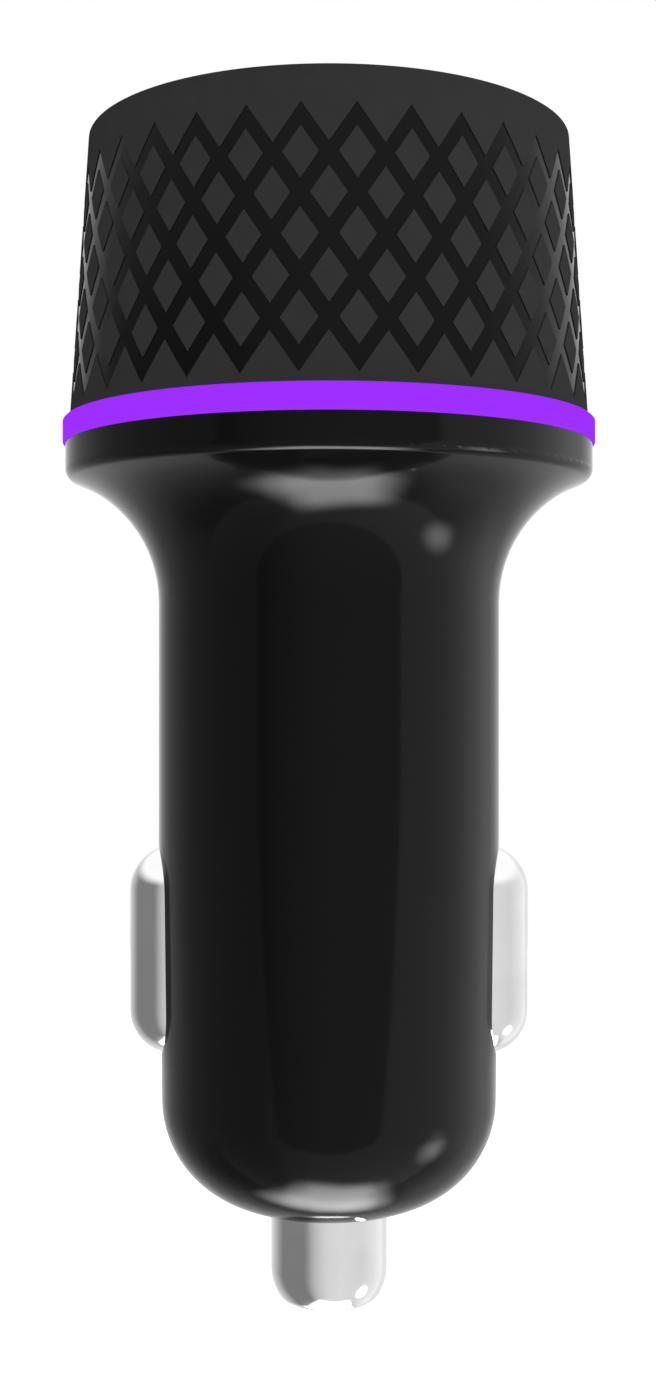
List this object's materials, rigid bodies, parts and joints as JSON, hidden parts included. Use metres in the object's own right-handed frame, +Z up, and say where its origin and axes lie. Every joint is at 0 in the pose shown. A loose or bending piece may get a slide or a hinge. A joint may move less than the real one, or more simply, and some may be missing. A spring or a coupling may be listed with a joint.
{
  "type": "car USB charger plug",
  "caption": "Car USB charger plug: black barrel with a sprung tip pin and sprung side contacts, a lit purple ring, and a knurled grip around a flat face with USB ports.",
  "frame": {"origin": "on the barrel's axis, at the level where the straight barrel meets the flare", "axes": "+Z up the barrel towards the port face, -Z along the tip pin; +X through the right side contact, -Y towards the viewer of the picture"},
  "size_m": [0.0318, 0.0316, 0.0692],
  "materials": {
    "gloss_black_plastic": "high gloss black moulding",
    "lit_diffuser": "translucent diffuser, lit purple",
    "matte_black_plastic": "fine matte with glossy black grooves",
    "face_plastic": "satin black moulding",
    "port_steel": "nickel plated sheet",
    "port_insulator": "black moulding",
    "gold_contact": "gold plated strip",
    "circuit_board": "green solder mask",
    "led_package": "moulded package",
    "screw_steel": "zinc plated",
    "ferrite": "pressed ferrite",
    "capacitor_can": "bare can",
    "chip_package": "moulded epoxy with tinned leads",
    "fuse_ceramic": "ceramic with tinned caps",
    "ceramic_parts": "ceramic",
    "tinned_brass": "tinned",
    "nickel": "bright nickel plate",
    "spring_steel": "drawn wire"
  },
  "bodies": {
    "housing": {"barrel_housing": "gloss_black_plastic", "light_ring": "lit_diffuser", "grip_sleeve": "matte_black_plastic", "face_plate": "face_plastic", "usb_shell_front": "port_steel", "usb_shell_rear": "port_steel", "usb_tongue_front": "port_insulator", "usb_tongue_rear": "port_insulator", "usb_strips_front": "gold_contact", "usb_strips_rear": "gold_contact", "port_board": "circuit_board", "ring_leds": "led_package", "board_screws": "screw_steel", "main_board": "circuit_board", "power_inductor": "ferrite", "input_capacitor": "capacitor_can", "output_capacitor": "capacitor_can", "converter_chip": "chip_package", "charge_chip": "chip_package", "rectifier_diode": "chip_package", "input_fuse": "fuse_ceramic", "chip_parts": "ceramic_parts", "ground_seat": "tinned_brass", "tip_seat": "tinned_brass", "tip_spring": "spring_steel", "side_spring_left": "spring_steel", "side_spring_right": "spring_steel"},
    "tip": {"tip_pin": "nickel"},
    "left_contact": {"side_contact_left": "nickel"},
    "right_contact": {"side_contact_right": "nickel"}
  },
  "joints": [
    {"name": "tip_press", "type": "slide", "parent": "housing", "child": "tip", "axis": [0, 0, 1], "range_m": [0, 0.0022], "stiffness_N_per_m": 1200, "springref_m": -0.001, "deforming": ["tip_spring"]},
    {"name": "left_contact_press", "type": "slide", "parent": "housing", "child": "left_contact", "axis": [1, 0, 0], "range_m": [0, 0.0016], "stiffness_N_per_m": 500, "springref_m": -0.001, "deforming": ["side_spring_left"]},
    {"name": "right_contact_press", "type": "slide", "parent": "housing", "child": "right_contact", "axis": [-1, 0, 0], "range_m": [0, 0.0016], "stiffness_N_per_m": 500, "springref_m": -0.001, "deforming": ["side_spring_right"]}
  ]
}
